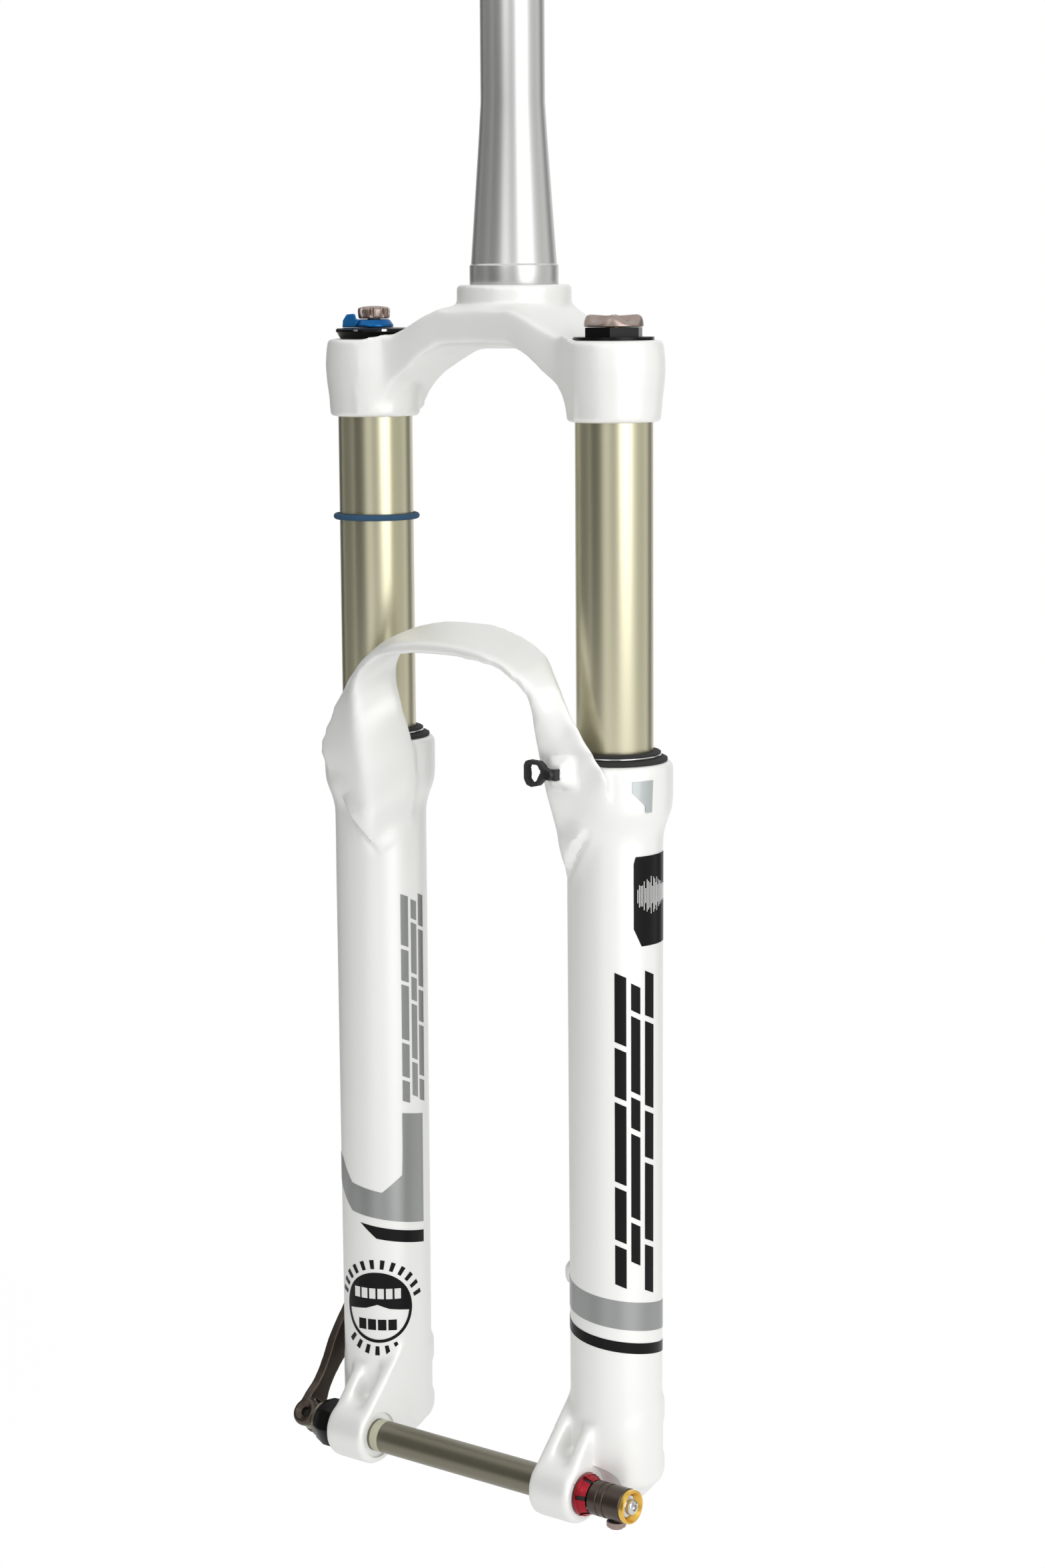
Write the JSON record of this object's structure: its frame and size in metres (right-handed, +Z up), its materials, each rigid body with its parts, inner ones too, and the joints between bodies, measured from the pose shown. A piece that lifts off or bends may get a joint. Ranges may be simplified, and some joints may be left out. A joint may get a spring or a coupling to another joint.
{
  "type": "bicycle suspension fork",
  "caption": "Air-sprung bicycle suspension fork with tapered steerer, forged crown, sliding lower legs joined by an arch, and a quick-release through axle.",
  "frame": {"origin": "middle of the crown race seat, on the steerer axis at the top face of the crown", "axes": "+Z up the steerer, -Y to the front of the bicycle, +X to the rider's left"},
  "size_m": [0.2, 0.0884, 0.8047],
  "materials": {
    "white_paint": "gloss white paint under clear coat",
    "blasted_aluminium": "bead-blasted",
    "bare_aluminium": "machined",
    "olive_anodised": "satin anodised, champagne olive",
    "olive_hardcoat": "hard anodised, dark olive",
    "black_anodised": "satin anodised, black",
    "blue_anodised": "anodised, blue",
    "pewter_anodised": "anodised, warm pewter",
    "brown_anodised": "anodised, dark brown grey",
    "red_anodised": "anodised, red",
    "gold_anodised": "anodised, gold",
    "blue_rubber": "smooth",
    "black_rubber": "smooth, lightly oiled",
    "foam": "open-cell, oiled",
    "black_plastic": "moulded",
    "black_steel": "black oxide",
    "bright_steel": "polished",
    "bronze_band": "sintered, coated",
    "brass": "machined"
  },
  "bodies": {
    "chassis": {"steerer_tube": "blasted_aluminium", "crown": "white_paint", "stanchion_damper": "olive_anodised", "stanchion_air": "olive_anodised", "damper_top_cap": "black_anodised", "damper_cartridge": "bare_aluminium", "base_valve": "bare_aluminium", "seal_head_damper": "black_plastic", "circlip_damper": "bright_steel", "seal_head_air": "bare_aluminium", "circlip_air": "bright_steel", "air_top_cap": "black_anodised", "air_valve_stem": "brass", "top_out_pad": "black_rubber"},
    "lowers": {"lower_casting": "white_paint", "bushing_upper_damper": "bronze_band", "bushing_lower_damper": "bronze_band", "foam_ring_damper": "foam", "wiper_seal_damper": "black_rubber", "garter_spring_damper": "bright_steel", "bushing_upper_air": "bronze_band", "bushing_lower_air": "bronze_band", "foam_ring_air": "foam", "wiper_seal_air": "black_rubber", "garter_spring_air": "bright_steel", "damper_rod": "bright_steel", "rebound_piston": "bare_aluminium", "glide_band": "bronze_band", "air_shaft": "bare_aluminium", "air_piston": "black_plastic", "air_piston_seal": "black_rubber", "bottom_out_bumper": "black_rubber", "foot_bolt": "black_steel", "foot_nut": "black_steel", "crush_washers": "bare_aluminium", "hose_guide": "black_plastic", "hose_guide_screw": "black_steel"},
    "oring": {"travel_oring": "blue_rubber"},
    "compression_lever": {"compression_lever": "blue_anodised"},
    "threshold_knob": {"threshold_knob": "pewter_anodised"},
    "valve_cap": {"valve_cap": "pewter_anodised"},
    "valve_pin": {"valve_pin": "brass"},
    "rebound_adjuster": {"rebound_knob": "red_anodised", "rebound_needle": "bright_steel"},
    "axle_collar": {"axle_collar": "black_anodised"},
    "axle": {"axle": "olive_hardcoat"},
    "quick_release": {"quick_release_lever": "brown_anodised", "lever_pin": "bright_steel"},
    "expander": {"expander": "red_anodised"},
    "tension_nut": {"tension_nut": "brown_anodised", "nut_end_ring": "gold_anodised", "nut_end_screw": "bright_steel"},
    "thumb_screw": {"thumb_screw": "black_steel"}
  },
  "joints": [
    {"name": "travel", "type": "slide", "parent": "chassis", "child": "lowers", "axis": [0, 0, 1], "range_m": [0, 0.14], "stiffness_N_per_m": 5000, "springref_m": -0.02},
    {"name": "oring_slide", "type": "slide", "parent": "chassis", "child": "oring", "axis": [0, 0, 1], "range_m": [0, 0.044]},
    {"name": "compression_turn", "type": "hinge", "parent": "chassis", "child": "compression_lever", "pos_m": [-0.06875, -0.017, -0.017], "axis": [0, 0, 1], "range_deg": [-90, 0]},
    {"name": "threshold_turn", "type": "hinge", "parent": "chassis", "child": "threshold_knob", "pos_m": [-0.06875, -0.017, -0.012], "axis": [0, 0, 1], "range_deg": [-270, 0]},
    {"name": "valve_cap_lift", "type": "slide", "parent": "chassis", "child": "valve_cap", "axis": [0, 0, 1], "range_m": [0, 0.03]},
    {"name": "valve_press", "type": "slide", "parent": "chassis", "child": "valve_pin", "axis": [0, 0, -1], "range_m": [0, 0.0015], "stiffness_N_per_m": 400, "springref_m": -0.001},
    {"name": "rebound_turn", "type": "hinge", "parent": "lowers", "child": "rebound_adjuster", "pos_m": [-0.06875, -0.017, -0.543], "axis": [0, 0, 1], "range_deg": [0, 300]},
    {"name": "axle_withdraw", "type": "slide", "parent": "lowers", "child": "axle_collar", "axis": [-1, 0, 0], "range_m": [0, 0.15]},
    {"name": "axle_turn", "type": "hinge", "parent": "axle_collar", "child": "axle", "pos_m": [-0.08, -0.0454, -0.53565], "axis": [1, 0, 0], "continuous": true},
    {"name": "lever_swing", "type": "hinge", "parent": "axle", "child": "quick_release", "pos_m": [-0.093, -0.0454, -0.53565], "axis": [0, -0.8, 0.6], "range_deg": [0, 165]},
    {"name": "expander_withdraw", "type": "slide", "parent": "lowers", "child": "expander", "axis": [1, 0, 0], "range_m": [0, 0.03]},
    {"name": "nut_turn", "type": "hinge", "parent": "expander", "child": "tension_nut", "pos_m": [0.088, -0.0454, -0.53565], "axis": [1, 0, 0], "continuous": true},
    {"name": "thumb_screw_turn", "type": "hinge", "parent": "tension_nut", "child": "thumb_screw", "pos_m": [0.09, -0.0454, -0.54565], "axis": [0, 0, 1], "continuous": true}
  ],
  "couplings": [
    {"joint": "oring_slide", "follows": "travel", "ratio": 0.3143}
  ]
}
